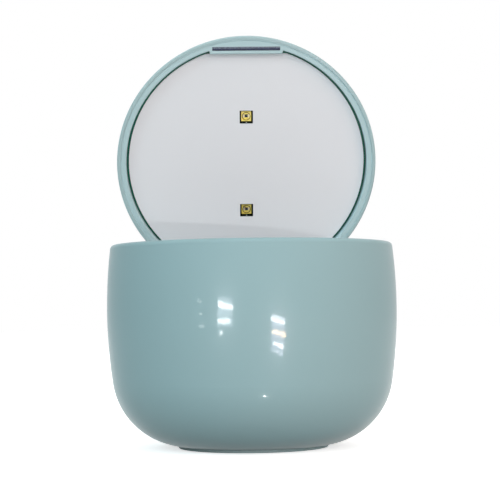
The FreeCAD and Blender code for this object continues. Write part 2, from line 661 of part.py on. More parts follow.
def lid_frame():
    """Inner moulding: rim and floor in one turned section, with tab, lug, lamp windows and board posts."""
    slab = cylinder(LID_RADIUS, V(0, 0, FRAME_Z), V(0, 0, FRAME_BACK))
    setback = LID_WALL + FRAME_GROOVE
    ring = dome_solid(setback).common(slab)
    ring = ring.makeFillet(PARTING_EDGE, ring_edges(ring, dome_radius(FRAME_Z, setback), FRAME_Z))
    ring = ring.cut(cylinder(FRAME_IN, V(0, 0, LID_Z), V(0, 0, PANEL_BACK)))
    ring = ring.makeFillet(FRAME_EDGE, ring_edges(ring, FRAME_IN, FRAME_Z)).cut(panel_channel())
    posts = [cylinder(POST_RADIUS, p, V(p.x, p.y, CONTROL_Z)) for p in board_screw_places(FRAME_BACK)]
    posts.append(cylinder(SUPPORT_RADIUS, V(0, 0, FRAME_BACK), V(0, 0, CONTROL_Z)))
    frame = fused(ring, tab_block(), lug_block(), *posts)
    cuts = [latch_box(MAGNET_GAP, FRAME_Z - OVERRUN, FRAME_Z + LATCH_RECESS + LATCH_DEPTH)]
    cuts += [lamp_window(y, PANEL_BACK - OVERRUN, FRAME_BACK + OVERRUN) for y in LAMP_PLACES.values()]
    cuts += [flat_screw(p, Z_AXIS, LID_SCREW, FIT_GAP) for p in lid_screw_places(PANEL_BACK)]
    reach = Z_AXIS * BOARD_SCREW_LENGTH
    cuts += [cylinder(BOARD_SCREW_RADIUS, p, p - reach) for p in board_screw_places(CONTROL_TOP)]
    cuts.append(cylinder(PIN_RADIUS + RUNNING_GAP, HINGE - X_AXIS * EAR_OUT, HINGE + X_AXIS * EAR_OUT))
    return frame.cut(cuts)


def lid_screws():
    """Countersunk screws under the reflector that hold frame and cover together."""
    return group([flat_screw(p, Z_AXIS, LID_SCREW) for p in lid_screw_places(PANEL_BACK)])


def latch_plate():
    """Plated strip in the tab that the catch magnet pulls on."""
    face = FRAME_Z + LATCH_RECESS
    return latch_box(0, face, face + LATCH_DEPTH)


def reflector_panel():
    """Satin sheet with a chord for the tab, a notch for the lug and a square window for each lamp."""
    sheet = cylinder(PANEL_RADIUS, V(0, 0, PANEL_Z), V(0, 0, PANEL_BACK))
    notch = LUG_HALF + PANEL_TAB_GAP
    cuts = [past_chord(PANEL_CHORD, PANEL_BACK),
            box(V(-notch, ROOT_FACE - PANEL_TAB_GAP, LID_Z), V(notch, MAX_RADIUS, PANEL_BACK))]
    return sheet.cut(cuts + [lamp_window(y, LID_Z, PANEL_BACK) for y in LAMP_PLACES.values()])


# What the lid holds

def led_board():
    """Metal-core strip behind the frame's floor that carries both lamps."""
    half = LED_BOARD_WIDTH / 2
    low = V(-half, LAMP_SHIFT - LED_BOARD_REACH, FRAME_BACK)
    high = V(half, LAMP_SHIFT + LED_BOARD_REACH, LED_BOARD_TOP)
    board = rounded_box(low, high, LED_BOARD_EDGE, Z_AXIS)
    return board.cut(cylinder(SUPPORT_RADIUS + FIT_GAP, V(0, 0, FRAME_BACK), V(0, 0, LED_BOARD_TOP)))


def lamp_package(y):
    """Square gold-plated lamp package with a round cup."""
    half = LAMP_SIZE / 2
    block = box(V(-half, y - half, LAMP_FACE), V(half, y + half, FRAME_BACK))
    return block.cut(cylinder(LAMP_CUP_RADIUS, V(0, y, LAMP_FACE), V(0, y, LAMP_FACE + LAMP_CUP_DEPTH)))


def lamp_chip(y):
    """UV emitter on the bottom of the cup."""
    half = LAMP_CHIP_SIZE / 2
    seat = LAMP_FACE + LAMP_CUP_DEPTH
    return box(V(-half, y - half, seat - LAMP_CHIP_THICK), V(half, y + half, seat))


def lamp_lens(y):
    """Quartz disc that closes the cup."""
    return cylinder(LAMP_CUP_RADIUS - LENS_GAP, V(0, y, LAMP_FACE), V(0, y, LAMP_FACE + LENS_THICK))


def control_board():
    """Round-ended board that carries the switch, the charging socket and the lamp driver."""
    plan = box(V(CONTROL_LEFT, -CONTROL_HALF, CONTROL_Z), V(LID_RADIUS, CONTROL_HALF, CONTROL_TOP))
    board = plan.common(cylinder(board_radius(), V(0, 0, CONTROL_Z), V(0, 0, CONTROL_TOP)))
    hole = BOARD_SCREW_RADIUS + FIT_GAP
    rise = Z_AXIS * CONTROL_THICK
    return board.cut([cylinder(hole, p, p + rise) for p in board_screw_places(CONTROL_Z)])


def board_screws():
    return group([pan_screw(p) for p in board_screw_places(CONTROL_TOP)])


def board_chips():
    """Processor and driver coil on the control board."""
    half = CHIP_SIZE / 2
    chip_low = V(board_place(CHIP_SHARE) - half, -half, CONTROL_TOP)
    chip = rounded_box(chip_low, chip_low + V(CHIP_SIZE, CHIP_SIZE, CHIP_HEIGHT), CHIP_EDGE, Z_AXIS)
    base = V(board_place(COIL_SHARE), -COIL_OFFSET, CONTROL_TOP)
    return group([chip, cylinder(COIL_RADIUS, base, base + Z_AXIS * COIL_HEIGHT)])


def tilt_switch():
    """Metal can that cuts the lamps when the lid stands open."""
    start = V(board_place(COIL_SHARE) - TILT_LENGTH / 2, COIL_OFFSET, CONTROL_TOP + TILT_RADIUS)
    return cylinder(TILT_RADIUS, start, start + X_AXIS * TILT_LENGTH)


def tact_switch():
    """Square push switch under the button."""
    half = SWITCH_SIZE / 2
    case = rounded_box(V(-half, -half, CONTROL_TOP), V(half, half, SWITCH_TOP), SWITCH_EDGE, Z_AXIS)
    depth = PLUNGER_DEPTH + BUTTON_TRAVEL + FIT_GAP
    return case.cut(cylinder(STEM_RADIUS + MOVING_GAP, V(0, 0, SWITCH_TOP - depth), V(0, 0, SWITCH_TOP)))


def usb_socket():
    """Pressed steel charging socket with its contact tongue, under the right end of the board."""
    mouth = socket_mouth()
    back = mouth - SOCKET_LENGTH
    case = socket_bar(0, back, mouth).cut(socket_bar(-SOCKET_WALL, back + SOCKET_BACK, mouth + OVERRUN))
    contact = box(V(back, -CONTACT_WIDTH / 2, SOCKET_Z - CONTACT_THICK / 2),
                  V(mouth - CONTACT_SETBACK, CONTACT_WIDTH / 2, SOCKET_Z + CONTACT_THICK / 2))
    return fused(case, contact)


def battery():
    """Flat lithium cell taped to the frame's floor."""
    low = V(BATTERY_LEFT, -BATTERY_LENGTH / 2, FRAME_BACK)
    high = V(BATTERY_RIGHT, BATTERY_LENGTH / 2, FRAME_BACK + BATTERY_THICK)
    return rounded_box(low, high, BATTERY_EDGE, Y_AXIS)


def battery_lead():
    """Lead that arches from the top of the cell over to the control board."""
    side = CONTROL_HALF - LEAD_INSET
    start = V(BATTERY_RIGHT - LEAD_INSET, side, FRAME_BACK + BATTERY_THICK)
    end = V(CONTROL_LEFT + LEAD_INSET, side, CONTROL_TOP)
    level = CONTROL_TOP + LEAD_LOOP
    return lead([start, V(start.x, side, level), V(end.x, side, level), end])


def lamp_lead():
    """Lead from the lamp board up to the front edge of the control board."""
    front = -CONTROL_HALF - LEAD_FRONT
    level = (CONTROL_Z + CONTROL_TOP) / 2
    return lead([V(0, front, LED_BOARD_TOP), V(0, front, level), V(0, -CONTROL_HALF, level)])


def light_ring():
    """Translucent ring round the button, glued under the crown."""
    crown = CROWN_Z + sqrt(CROWN_RADIUS**2 - RING_OUT**2)
    rim = RING_OUT + RING_FLANGE
    step = CROWN_Z + sqrt((CROWN_RADIUS - LID_WALL)**2 - rim**2)
    return spin([(RING_IN, RING_LOW), (rim, RING_LOW), (rim, step), (RING_OUT, step), (RING_OUT, crown),
                 (RING_IN, crown)])


# Button

def power_button():
    """Dished push cap with a skirt that keeps it under the light ring, and a stem on the switch."""
    cap = cylinder(BUTTON_RADIUS, V(0, 0, BUTTON_BASE), V(0, 0, BUTTON_TOP))
    cap = cap.makeFillet(BUTTON_EDGE, ring_edges(cap, BUTTON_RADIUS, BUTTON_TOP))
    dish = Part.makeSphere(BUTTON_DISH_RADIUS, V(0, 0, BUTTON_TOP + BUTTON_DISH_RADIUS - BUTTON_DISH_DEPTH))
    skirt = cylinder(BUTTON_RADIUS + BUTTON_FLANGE, V(0, 0, BUTTON_BASE), V(0, 0, BUTTON_LOW))
    stem = cylinder(STEM_RADIUS, V(0, 0, PLUNGER_TOP), V(0, 0, BUTTON_BASE))
    return fused(cap.cut(dish), skirt, stem)


def switch_plunger():
    """Plunger of the push switch, which rides with the button."""
    return cylinder(STEM_RADIUS, V(0, 0, SWITCH_TOP - PLUNGER_DEPTH), V(0, 0, PLUNGER_TOP))


def pot_pieces():
    return {
        "body_shell": body_shell(),
        "foot_pad": foot_pad(),
        "catch_magnet": catch_magnet(),
        "bowl_gasket": bowl_gasket(),
        "inner_bowl": inner_bowl(),
        "hinge_bracket": hinge_bracket(),
        "bracket_screws": bracket_screws(),
        "hinge_pin": hinge_pin(),
    }


def lid_pieces():
    pieces = {
        "lid_cover": lid_cover(),
        "lid_frame": lid_frame(),
        "lid_screws": lid_screws(),
        "latch_plate": latch_plate(),
        "reflector_panel": reflector_panel(),
        "led_board": led_board(),
        "control_board": control_board(),
        "board_screws": board_screws(),
        "board_chips": board_chips(),
        "tilt_switch": tilt_switch(),
        "tact_switch": tact_switch(),
        "usb_socket": usb_socket(),
        "battery": battery(),
        "battery_lead": battery_lead(),
        "lamp_lead": lamp_lead(),
        "light_ring": light_ring(),
        "power_button": power_button(),
        "switch_plunger": switch_plunger(),
    }
    for end, y in LAMP_PLACES.items():
        pieces[f"{end}_lamp"] = lamp_package(y)
        pieces[f"{end}_lamp_chip"] = lamp_chip(y)
        pieces[f"{end}_lamp_lens"] = lamp_lens(y)
    return pieces


def swung_open(shape):
    """The closed lid's piece, swung up and back to the open stop."""
    opened = shape.copy()
    opened.rotate(HINGE, X_AXIS, -LID_OPEN_ANGLE)
    return opened


os.makedirs("parts", exist_ok=True)
pieces = pot_pieces()
pieces.update({name: swung_open(shape) for name, shape in lid_pieces().items()})
for name, shape in pieces.items():
    shape.exportStep(f"parts/{name}.step")
    state = "valid" if shape.isValid() else "not valid"
    print(f"{name}: {len(shape.Solids)} solid(s), {shape.Volume:.1f} mm3, {state}")
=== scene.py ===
import bpy
import json
from math import pi, radians
from mathutils import Matrix, Vector


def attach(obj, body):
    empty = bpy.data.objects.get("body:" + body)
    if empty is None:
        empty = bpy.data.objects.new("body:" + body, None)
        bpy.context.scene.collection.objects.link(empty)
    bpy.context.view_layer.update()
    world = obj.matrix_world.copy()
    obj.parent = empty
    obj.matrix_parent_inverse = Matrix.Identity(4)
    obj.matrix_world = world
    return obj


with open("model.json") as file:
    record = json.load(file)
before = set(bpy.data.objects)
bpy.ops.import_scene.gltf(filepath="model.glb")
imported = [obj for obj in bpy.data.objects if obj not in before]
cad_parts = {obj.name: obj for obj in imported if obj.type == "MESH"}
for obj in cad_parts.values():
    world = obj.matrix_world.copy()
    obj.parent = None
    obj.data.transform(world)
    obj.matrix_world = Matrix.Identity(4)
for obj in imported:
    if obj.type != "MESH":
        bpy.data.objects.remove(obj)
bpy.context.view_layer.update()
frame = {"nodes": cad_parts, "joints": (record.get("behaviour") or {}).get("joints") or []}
cad = frame["nodes"]
scene = bpy.context.scene


# Pot: the bulging outer shell, injection moulded in pale mint ABS in a polished mould.
# It is one piece with the ledge inside, and its gloss mirrors windows as crisp bars with a soft glow.
MM = 0.001                                  # metres in a millimetre
NOISE_LOW, NOISE_HIGH = 0.3, 0.7            # most of a noise pattern lies between these
SHARE, FIRST, SECOND, BLEND = 0, 6, 7, 2    # places of a colour blend's share, two colours and result
SOFT_SHADE = 0.3                            # keeps the shadow's edge smooth across a dome's facets


def linear(code):
    """An sRGB hex colour as linear red, green, blue and alpha."""
    shares = [int(code[i:i + 2], 16) / 255 for i in (1, 3, 5)]
    return [c / 12.92 if c <= 0.04045 else ((c + 0.055) / 1.055)**2.4 for c in shares] + [1.0]


def add(tree, kind, links=None, **settings):
    """One node with its settings, and its inputs linked or set."""
    made = tree.nodes.new(kind)
    for name, value in settings.items():
        setattr(made, name, value)
    for socket, value in (links or {}).items():
        if isinstance(value, bpy.types.NodeSocket):
            tree.links.new(value, made.inputs[socket])
        else:
            made.inputs[socket].default_value = value
    return made


def surface(name, tones, patch, polish, grain, relief, stretch=(1, 1, 1), **plain):
    """A finish with two close tones in patches, an uneven polish and a fine skin, with sizes in millimetres.

    A skin that is too fine to show in the picture is drawn as coarse as it needs to show.
    """
    material = bpy.data.materials.new(name)
    material.use_nodes = True
    tree = material.node_tree
    shader = tree.nodes["Principled BSDF"]
    for socket, value in plain.items():
        shader.inputs[socket.replace("_", " ").title().replace("Ior", "IOR")].default_value = value
    place = add(tree, "ShaderNodeTexCoord").outputs["Object"]
    place = add(tree, "ShaderNodeMapping", {"Vector": place, "Scale": stretch}).outputs["Vector"]
    patches = add(tree, "ShaderNodeTexNoise", {"Vector": place, "Scale": 1 / (patch * MM), "Detail": 1.0})
    skin = add(tree, "ShaderNodeTexNoise", {"Vector": place, "Scale": 1 / (grain * MM), "Detail": 1.0})
    tone = add(tree, "ShaderNodeMix", {SHARE: patches.outputs[0], FIRST: linear(tones[0]),
                                       SECOND: linear(tones[1])}, data_type="RGBA")
    gloss = add(tree, "ShaderNodeMapRange", {"Value": skin.outputs[0],
                                             "From Min": NOISE_LOW, "From Max": NOISE_HIGH,
                                             "To Min": polish[0], "To Max": polish[1]})
    tree.links.new(tone.outputs[BLEND], shader.inputs["Base Color"])
    tree.links.new(gloss.outputs[0], shader.inputs["Roughness"])
    if relief:
        bump = add(tree, "ShaderNodeBump", {"Height": skin.outputs[0], "Distance": relief * MM,
                                            "Strength": 1.0})
        tree.links.new(bump.outputs[0], shader.inputs["Normal"])
    return material


def dress(material, *nodes):
    """Gives CAD nodes their material."""
    for node in nodes:
        for slot in cad[node].material_slots:
            slot.material = material


# Polished ABS: a clear sharp reflection over a soft one, which gives the highlights their glow.
gloss_abs = surface("gloss_abs_mint", ("#92B0B5", "#94B2B7"), patch=40, polish=(0.28, 0.29), grain=30,
                    relief=0.0, ior=1.45, specular_ior_level=0.05, coat_weight=0.12, coat_roughness=0.05,
                    coat_ior=1.5)
dress(gloss_abs, "body_shell")
cad["body_shell"].cycles.shadow_terminator_offset = SOFT_SHADE


# Foot pad and bowl gasket: a round silicone pad in the pot's own colour, glued into the recess of its bottom,
# and a flat ring of the same on the ledge.
# Moulded silicone: matt and a little cloudy, because it holds dust.
silicone = surface("silicone_mint", ("#9DB6B8", "#A6BEBF"), patch=6, polish=(0.55, 0.75), grain=0.3,
                   relief=0.01, ior=1.41)
dress(silicone, "foot_pad", "bowl_gasket")


# Catch magnet and bowl: a nickel-plated bar in the ledge, and a deep-drawn stainless bowl that hangs over it
# by its flange.
# Nickel plate: a warm grey metal with soft reflections.
nickel = surface("nickel_plate", ("#B9B6AE", "#C4C1BA"), patch=3, polish=(0.18, 0.3), grain=0.4, relief=0.002,
                 metallic=1.0)
dress(nickel, "catch_magnet")
# Drawn stainless steel: fine rings round the bowl, which stretch every reflection up and down.
drawn_steel = surface("stainless_drawn", ("#BFC2C4", "#CDD0D1"), patch=9, polish=(0.18, 0.27), grain=0.9,
                      relief=0.0018, stretch=(0.08, 0.08, 1), metallic=1.0)
dress(drawn_steel, "inner_bowl")


# Hinge: a moulded bracket dropped into the rear of the rim, two countersunk screws and a ground steel pin.
# The bracket is ABS in the pot's colour, and the screws hold it down by its tongue.
# Satin ABS: a soft, even sheen that hides handling marks.
satin_bracket = surface("satin_abs_bracket", ("#98B5BA", "#9BB8BD"), patch=20, polish=(0.36, 0.44), grain=0.8,
                        relief=0.001, ior=1.45, specular_ior_level=0.12)
dress(satin_bracket, "hinge_bracket")
# Zinc-plated steel: a cool grey metal with a slightly cloudy shine.
zinc_steel = surface("zinc_plated_steel", ("#A9ACAE", "#BCBFC0"), patch=2, polish=(0.25, 0.4), grain=0.3,
                     relief=0.003, metallic=1.0)
dress(zinc_steel, "bracket_screws", "hinge_pin", "lid_screws", "board_screws")


# Lid frame: the inner moulding with the rim, the front tab and the hinge lug, in the same mint ABS.
# It is welded to the cover along the parting groove, and the weld leaves a thin bead in it.
# Satin ABS: the bracket's soft sheen, in a paler mint that is painted light, making up for the light the
# lid's tilted face misses.
satin_abs = surface("satin_abs_mint", ("#B5D1D6", "#B8D4D9"), patch=20, polish=(0.36, 0.44), grain=0.8,
                    relief=0.001, ior=1.45, specular_ior_level=0.12)
dress(satin_abs, "lid_frame")
crease = radians(40)         # sharper edges than this stay sharp
ring_points = 180            # points round a ring
wire_points = 12             # and round its wire
tab_side_y = -36 * MM        # where the bead starts to rise in the groove, towards the tab
tab_middle_y = -43 * MM      # where it fills the groove
hinge = next(joint for joint in frame["joints"] if joint["name"] == "lid_hinge")
centre = Vector(hinge["pos_m"])
swing = (Matrix.Translation(centre) @ Matrix.Rotation(radians(-hinge["range_deg"][1]), 4, "X")
         @ Matrix.Translation(-centre))


def grow(name, shape, material, slot, **sizes):
    """A lid piece grown by its own node tree on the closed lid, made a plain mesh and swung open."""
    tree = bpy.data.node_groups.new(name, "GeometryNodeTree")
    tree.interface.new_socket("Geometry", in_out="OUTPUT", socket_type="NodeSocketGeometry")
    inputs = {size: tree.interface.new_socket(size, in_out="INPUT", socket_type="NodeSocketFloat")
              for size in sizes}
    made = shape(tree, add(tree, "NodeGroupInput").outputs)
    made = add(tree, "GeometryNodeRealizeInstances", {"Geometry": made})
    made = add(tree, "GeometryNodeSetMaterial", {"Geometry": made.outputs[0], "Material": material})
    add(tree, "NodeGroupOutput", {"Geometry": made.outputs[0]})
    piece = bpy.data.objects.new(name, bpy.data.meshes.new(name))
    scene.collection.objects.link(piece)
    growth = piece.modifiers.new(name, "NODES")
    growth.node_group = tree
    for size, value in sizes.items():
        growth[inputs[size].identifier] = value
    mesh = bpy.data.meshes.new_from_object(piece.evaluated_get(bpy.context.evaluated_depsgraph_get()))
    piece.modifiers.remove(growth)
    piece.data = mesh
    mesh.transform(swing)
    mesh.shade_smooth()
    mesh.set_sharp_from_angle(angle=crease)
    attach(piece, "lid")
    return piece


def lifted(tree, shape, height):
    """A shape raised to its height on the closed lid."""
    lift = add(tree, "ShaderNodeCombineXYZ", {"Z": height})
    return add(tree, "GeometryNodeTransform", {"Geometry": shape, "Translation": lift.outputs[0]}).outputs[0]


def hoop(tree, sizes):
    """A round ring of round wire."""
    path = add(tree, "GeometryNodeCurvePrimitiveCircle", {"Resolution": ring_points,
                                                          "Radius": sizes["Radius"]})
    wire = add(tree, "GeometryNodeCurvePrimitiveCircle", {"Resolution": wire_points,
                                                          "Radius": sizes["Wire"]})
    ring = add(tree, "GeometryNodeCurveToMesh", {"Curve": path.outputs[0], "Profile Curve": wire.outputs[0]})
    return lifted(tree, ring.outputs[0], sizes["Height"])


def weld(tree, sizes):
    """A bead all round the groove, which rises along the tab and fills the groove there."""
    ring = hoop(tree, sizes)
    place = add(tree, "GeometryNodeInputPosition").outputs[0]
    front = add(tree, "ShaderNodeSeparateXYZ", {"Vector": place}).outputs["Y"]
    fill = add(tree, "ShaderNodeMapRange", {"Value": front, "From Min": tab_side_y, "From Max": tab_middle_y,
                                            "To Max": sizes["Fill"]})
    fill = add(tree, "ShaderNodeCombineXYZ", {"Z": fill.outputs[0]})
    return add(tree, "GeometryNodeSetPosition", {"Geometry": ring, "Offset": fill.outputs[0]}).outputs[0]


grow("weld_bead", weld, satin_abs, "frame_plastic", Radius=48.52 * MM, Wire=0.3 * MM, Height=72.53 * MM,
     Fill=-0.2 * MM)


# Latch plate: a plated steel strip glued into the tab, which the catch magnet pulls on.
# Its colour turns paler along its upper edge.
# Dark nickel: a blue-black, streaky bath finish, with pale specks in a paler band at the upper edge.
dark_nickel = surface("dark_nickel", ("#080D1E", "#2F3A5C"), patch=0.7, polish=(0.4, 0.6), grain=0.5,
                      relief=0.01, specular_ior_level=0.2)
dress(dark_nickel, "latch_plate")
band_start = 0.65 * MM                     # height above the plate's lower edge where the paler band begins
band_full = 0.85 * MM                      # and where it is fully pale
speck = 0.45 * MM                          # width of a speck
speck_low, speck_high = 0.35, 0.62         # the part of the noise that turns from the band's lowest paleness to its full paleness
dull = 0.4                                 # how pale the band is between the specks
tree = dark_nickel.node_tree
base = tree.nodes["Principled BSDF"].inputs["Base Color"]
place = add(tree, "ShaderNodeTexCoord").outputs["Object"]
lower = min(corner[2] for corner in cad["latch_plate"].bound_box)
height = add(tree, "ShaderNodeSeparateXYZ", {"Vector": place}).outputs["Z"]
upper_band = add(tree, "ShaderNodeMapRange", {"Value": height, "From Min": lower + band_start,
                                          "From Max": lower + band_full})
specks = add(tree, "ShaderNodeTexNoise", {"Vector": place, "Scale": 1 / speck, "Detail": 1.0})
specks = add(tree, "ShaderNodeMapRange", {"Value": specks.outputs[0], "From Min": speck_low,
                                          "From Max": speck_high, "To Min": dull})
paled = add(tree, "ShaderNodeMath", {0: upper_band.outputs[0], 1: specks.outputs[0]}, operation="MULTIPLY")
paled = add(tree, "ShaderNodeMix", {SHARE: paled.outputs[0], FIRST: base.links[0].from_socket,
                                   SECOND: linear("#7C8799")}, data_type="RGBA")
tree.links.new(paled.outputs[BLEND], base)


# Lamp board and lamps: a metal-core strip with two gold-plated ceramic packages soldered to it.
# Each has a round cup with a dark emitter under a quartz disc, and looks out of a square window
# whose walls carry a near-black lining of painted shade.
front_lamp_y = -18.2 * MM    # the lamps' places on the closed lid, along its middle line
lamp_spacing = 37.2 * MM
same_point = 0.001 * MM      # points of a pad nearer than this are one
pressed_flat = (1, 0.5, 1)   # a drop pressed flat against the window's wall
# Black solder mask: a dull lacquer, nearly black, that frames the gold.
solder_mask = surface("solder_mask_black", ("#030605", "#060C09"), patch=1.5, polish=(0.45, 0.6), grain=0.3,
                      relief=0.01, ior=1.5, specular_ior_level=0.05)
dress(solder_mask, "led_board")
# Gold plate on rough ceramic: a bright yellow that scatters more than it mirrors.
gold_plate = surface("gold_plate", ("#F0DA4C", "#FCEB88"), patch=0.8, polish=(0.45, 0.6), grain=0.25,
                     relief=0.006, metallic=0.15)
dress(gold_plate, "front_lamp", "rear_lamp")
# Emitter die: a dark brown, glassy square.
emitter = surface("emitter_die", ("#1E160E", "#30261A"), patch=0.4, polish=(0.15, 0.3), grain=0.2,
                  relief=0.004, ior=1.8)
dress(emitter, "front_lamp_chip", "rear_lamp_chip")
# Polished quartz: clear, with a faint glint.
quartz = surface("quartz", ("#F6F8FA", "#FFFFFF"), patch=2, polish=(0.0, 0.02), grain=1, relief=0.0002,
                 ior=1.46, transmission_weight=1.0)
dress(quartz, "front_lamp_lens", "rear_lamp_lens")


def at_lamps(tree, shape):
    """One copy of a shape at each of the two lamps."""
    spots = add(tree, "GeometryNodeMeshLine", {"Count": 2, "Start Location": (0, front_lamp_y, 0),
                                               "Offset": (0, lamp_spacing, 0)})
    return add(tree, "GeometryNodeInstanceOnPoints", {"Points": spots.outputs[0],
                                                      "Instance": shape}).outputs[0]


def window_shade_lining(tree, sizes):
    """A square lining of painted shade in each lamp window."""
    path = add(tree, "GeometryNodeCurvePrimitiveQuadrilateral", {0: sizes["Side"], 1: sizes["Side"]})
    wall = add(tree, "GeometryNodeCurvePrimitiveQuadrilateral", {0: sizes["Wall"], 1: sizes["Depth"]})
    ring = add(tree, "GeometryNodeCurveToMesh", {"Curve": path.outputs[0], "Profile Curve": wall.outputs[0]})
    return at_lamps(tree, lifted(tree, ring.outputs[0], sizes["Height"]))


def lamp_seal(tree, sizes):
    """The dark solder ring round each lamp's quartz disc."""
    return at_lamps(tree, hoop(tree, sizes))


def bond_pads(tree, sizes):
    """Two rounded pads in each cup, one on either side of the emitter."""
    plan = add(tree, "GeometryNodeCurvePrimitiveQuadrilateral", {0: sizes["Width"], 1: sizes["Length"]})
    plan = add(tree, "GeometryNodeFilletCurve", {"Curve": plan.outputs[0], "Count": 3,
                                                 "Radius": sizes["Corner"]}, mode="POLY")
    face = add(tree, "GeometryNodeFillCurve", {"Curve": plan.outputs[0]}, mode="NGONS")
    under = add(tree, "GeometryNodeFlipFaces", {"Mesh": face.outputs[0]})
    raised = add(tree, "GeometryNodeExtrudeMesh", {"Mesh": under.outputs[0],
                                                   "Offset Scale": sizes["Thickness"]})
    pad = add(tree, "GeometryNodeJoinGeometry")
    tree.links.new(face.outputs[0], pad.inputs[0])
    tree.links.new(raised.outputs[0], pad.inputs[0])
    pad = add(tree, "GeometryNodeMergeByDistance", {"Geometry": pad.outputs[0], "Distance": same_point})
    side = add(tree, "ShaderNodeMath", {0: sizes["Spread"], 1: -0.5}, operation="MULTIPLY")
    start = add(tree, "ShaderNodeCombineXYZ", {"X": side.outputs[0], "Z": sizes["Height"]})
    step = add(tree, "ShaderNodeCombineXYZ", {"X": sizes["Spread"]})
    pair = add(tree, "GeometryNodeMeshLine", {"Count": 2, "Start Location": start.outputs[0],
                                              "Offset": step.outputs[0]})
    pair = add(tree, "GeometryNodeInstanceOnPoints", {"Points": pair.outputs[0], "Instance": pad.outputs[0]})
    return at_lamps(tree, pair.outputs[0])


def glint_drops(tree, sizes):
    """A near-white drop on the lower wall of each window, pressed flat against it: a painted glint."""
    drop = add(tree, "GeometryNodeMeshIcoSphere", {"Radius": sizes["Radius"], "Subdivisions": 3})
    place = add(tree, "ShaderNodeCombineXYZ", {"Y": sizes["Reach"], "Z": sizes["Height"]})
    drop = add(tree, "GeometryNodeTransform", {"Geometry": drop.outputs[0], "Translation": place.outputs[0],
                                               "Scale": pressed_flat})
    return at_lamps(tree, drop.outputs[0])


# Painted shade: a matt, near-black lining that darkens the walls round each lamp.
window_shade_finish = surface("painted_shade_black_green", ("#020C0A", "#041611"), patch=1.5, polish=(0.5, 0.65), grain=0.3,
                 relief=0.01, ior=1.5, specular_ior_level=0.05)
grow("window_shade_linings", window_shade_lining, window_shade_finish, "lamp_board", Side=4.86 * MM, Wall=0.2 * MM, Depth=2.4 * MM,
     Height=76.0 * MM)
# Gold-tin solder: a brown, dull metal ring round the quartz.
solder = surface("gold_tin_solder", ("#4A3A10", "#6B5518"), patch=0.5, polish=(0.35, 0.5), grain=0.2,
                 relief=0.004, metallic=0.6)
grow("lamp_seals", lamp_seal, solder, "lamp_gold", Radius=1.5 * MM, Wire=0.13 * MM, Height=76.2 * MM)
# Silvered pads: pale cream patches beside the emitter.
pad_silver = surface("pad_silver", ("#E6DAB4", "#F2E8CC"), patch=0.4, polish=(0.3, 0.45), grain=0.2,
                     relief=0.004, metallic=0.5)
grow("bond_pads", bond_pads, pad_silver, "lamp_gold", Width=0.62 * MM, Length=1.15 * MM, Corner=0.15 * MM,
     Thickness=0.08 * MM, Spread=1.8 * MM, Height=76.95 * MM)
# Painted highlight: a pale, shiny drop that stands for a glint on the window's wall.
glint_drop_finish = surface("painted_glint_drop", ("#DFF0EA", "#F0FAF6"), patch=0.3, polish=(0.1, 0.2), grain=0.2, relief=0.002,
               ior=1.5)
grow("glint_drops", glint_drops, glint_drop_finish, "quartz", Radius=0.26 * MM, Reach=2.3 * MM, Height=75.6 * MM)


# Reflector: a sheet of satin anodised aluminium, cut to a chord at the tab and stuck to the frame's floor.
# A dark green band of painted shade lies in the shadow channel round it.
# Satin aluminium: scatters the light into one even pale grey.
satin_sheet = surface("satin_aluminium", ("#E7EAEF", "#E9ECF1"), patch=30, polish=(0.42, 0.5), grain=0.6,
                      relief=0.0008, stretch=(0.1, 1, 1), specular_ior_level=0.1)
dress(satin_sheet, "reflector_panel")
band_points = 120            # points along a band
beside_tab = radians(-72)    # the right band starts just beside the tab
to_lug = radians(150)        # and runs round to the hinge lug
left_turn = radians(174)     # the same band, turned round to the left side


def channel_shade_band(tree, sizes):
    """A flat band of painted shade on each side of the lid, from the tab round to the hinge lug."""
    path = add(tree, "GeometryNodeCurveArc", {"Resolution": band_points, "Radius": sizes["Radius"],
                                              "Start Angle": beside_tab, "Sweep Angle": to_lug})
    band = add(tree, "GeometryNodeCurvePrimitiveQuadrilateral", {0: sizes["Width"], 1: sizes["Thickness"]})
    band = add(tree, "GeometryNodeCurveToMesh", {"Curve": path.outputs[0], "Profile Curve": band.outputs[0],
                                                 "Fill Caps": True})
    lift = add(tree, "ShaderNodeCombineXYZ", {"Z": sizes["Height"]})
    spots = add(tree, "GeometryNodeMeshLine", {"Count": 2, "Start Location": lift.outputs[0],
                                               "Offset": (0, 0, 0)})
    side = add(tree, "GeometryNodeInputIndex").outputs[0]
    turn = add(tree, "ShaderNodeMath", {0: side, 1: left_turn}, operation="MULTIPLY")
    turn = add(tree, "ShaderNodeCombineXYZ", {"Z": turn.outputs[0]})
    return add(tree, "GeometryNodeInstanceOnPoints", {"Points": spots.outputs[0], "Instance": band.outputs[0],
                                                      "Rotation": turn.outputs[0]}).outputs[0]


# Painted shade: deep sea-green at the bottom of the dark channel.
channel_shade_finish = surface("painted_shade_sea_green", ("#0F6B56", "#157A64"), patch=3, polish=(0.5, 0.65), grain=0.3,
                     relief=0.01, ior=1.5, specular_ior_level=0.3)
grow("channel_shade_band", channel_shade_band, channel_shade_finish, "lamp_board", Radius=45.52 * MM, Width=1.6 * MM,
     Thickness=0.3 * MM, Height=76.1 * MM)


# Electronics behind the frame: a control board with its parts, a flat foil cell and two leads.
# They are soldered or stuck down inside the dome, where only the charging slot shows them.
# Green solder mask: a semi-gloss lacquer over the board.
board_green = surface("solder_mask_green", ("#0E3A22", "#14492C"), patch=2, polish=(0.3, 0.4), grain=0.4,
                      relief=0.01, ior=1.5)
dress(board_green, "control_board")
# Moulded epoxy: matt black, with a fine grain.
chip_epoxy = surface("chip_epoxy", ("#161616", "#202020"), patch=1, polish=(0.45, 0.6), grain=0.2,
                     relief=0.008)
dress(chip_epoxy, "board_chips", "tact_switch", "switch_plunger")
# Tin plate: bright metal in the mouth of the charging slot.
tin_plate = surface("tin_plate", ("#BDC0C2", "#CED0D1"), patch=2, polish=(0.2, 0.35), grain=0.3, relief=0.003,
                    metallic=1.0)
dress(tin_plate, "tilt_switch", "usb_socket")
